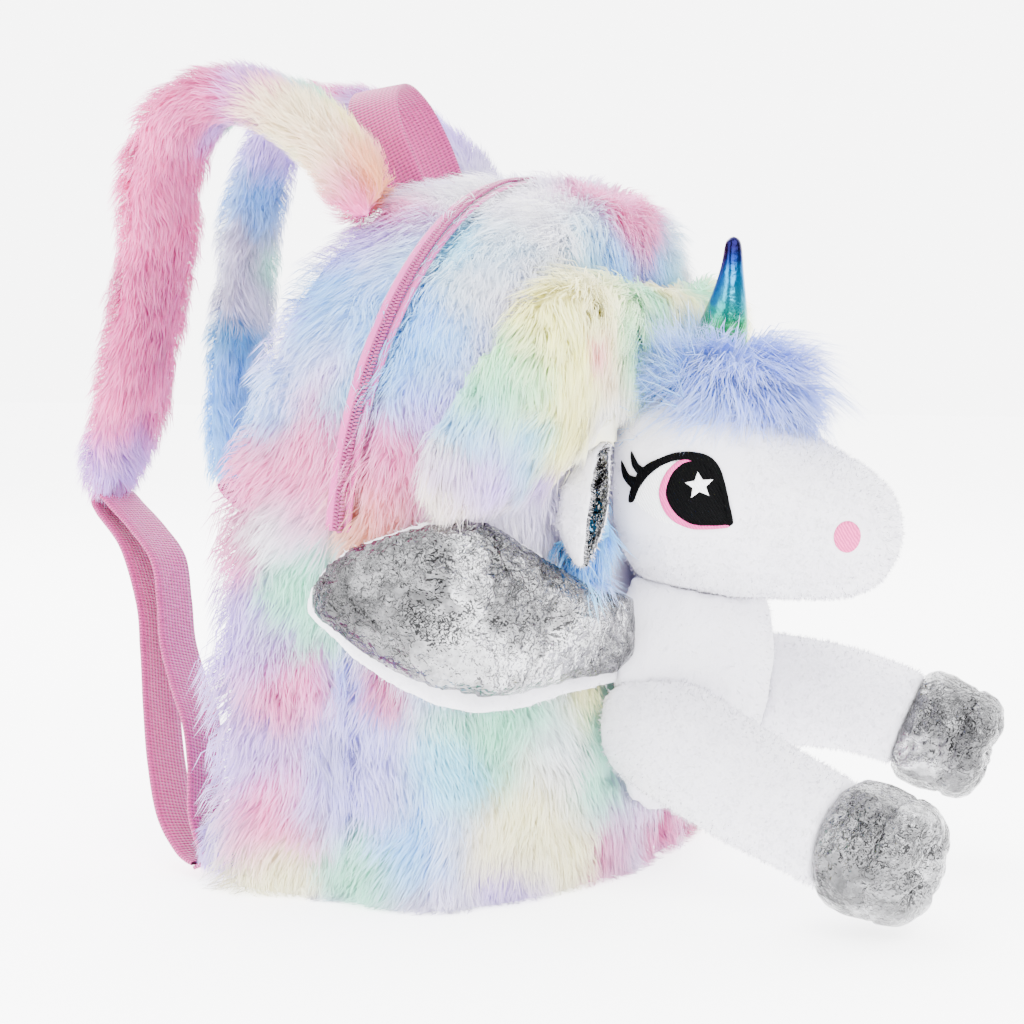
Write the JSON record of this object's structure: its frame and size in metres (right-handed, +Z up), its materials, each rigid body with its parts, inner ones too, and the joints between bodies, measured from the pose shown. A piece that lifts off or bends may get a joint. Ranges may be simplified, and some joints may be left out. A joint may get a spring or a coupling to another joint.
{
  "type": "kids animal backpack",
  "caption": "Small furry arched backpack with a plush unicorn on its front, zip over the top, carry loop and padded shoulder straps.",
  "frame": {"origin": "middle of the bag's base, on the floor", "axes": "+Z up, the unicorn faces -Y, back panel and shoulder straps on +Y, the wearer's left side is -X"},
  "size_m": [0.2938, 0.4143, 0.3509],
  "materials": {
    "fur_front": "long pastel fur pile",
    "fur_back": "long pastel fur pile",
    "fur_gusset": "long pastel fur pile",
    "fur_base": "plain pastel fur cloth",
    "zip_tape": "woven zip tape",
    "zip_coil": "satin nylon coil",
    "zip_slider": "painted",
    "webbing": "ribbed woven webbing",
    "fur_strap_left": "long pastel fur pile",
    "fur_strap_right": "long pastel fur pile",
    "fur_tab": "long pastel fur pile",
    "fur_mane": "long pastel fur pile",
    "fur_lock": "long fur pile",
    "white_plush": "short white plush",
    "horn_foil": "metallic foil cloth shading from green to blue",
    "fur_forelock": "long fur strands",
    "silver_foil": "crinkled silver foil cloth",
    "thread_black": "embroidery",
    "thread_pink": "embroidery",
    "thread_white": "embroidery",
    "thread_nostril": "embroidery"
  },
  "bodies": {
    "root": {"front_panel": "fur_front", "back_panel": "fur_back", "gusset": "fur_gusset", "base_panel": "fur_base", "zipper_tape_rear": "zip_tape", "zipper_tape_front": "zip_tape", "zipper_coil": "zip_coil", "zipper_slider": "zip_slider", "zipper_pull": "zip_slider", "carry_loop": "webbing", "webbing_left": "webbing", "webbing_right": "webbing", "strap_left": "fur_strap_left", "strap_right": "fur_strap_right", "strap_tab_left": "fur_tab", "strap_tab_right": "fur_tab", "mane": "fur_mane", "mane_lock_left": "fur_lock", "mane_lock_right": "fur_lock", "chest": "white_plush", "head": "white_plush", "ear_left": "white_plush", "ear_right": "white_plush", "leg_left": "white_plush", "leg_right": "white_plush", "wing_backing_left": "white_plush", "wing_backing_right": "white_plush", "horn": "horn_foil", "forelock": "fur_forelock", "ear_lining_left": "silver_foil", "ear_lining_right": "silver_foil", "wing_left": "silver_foil", "wing_right": "silver_foil", "hoof_left": "silver_foil", "hoof_right": "silver_foil", "eye_left": "thread_black", "eye_right": "thread_black", "eyelid_left": "thread_black", "eyelid_right": "thread_black", "eye_ring_left": "thread_pink", "eye_ring_right": "thread_pink", "eye_star_left": "thread_white", "eye_star_right": "thread_white", "nostril_left": "thread_nostril", "nostril_right": "thread_nostril"}
  },
  "joints": []
}
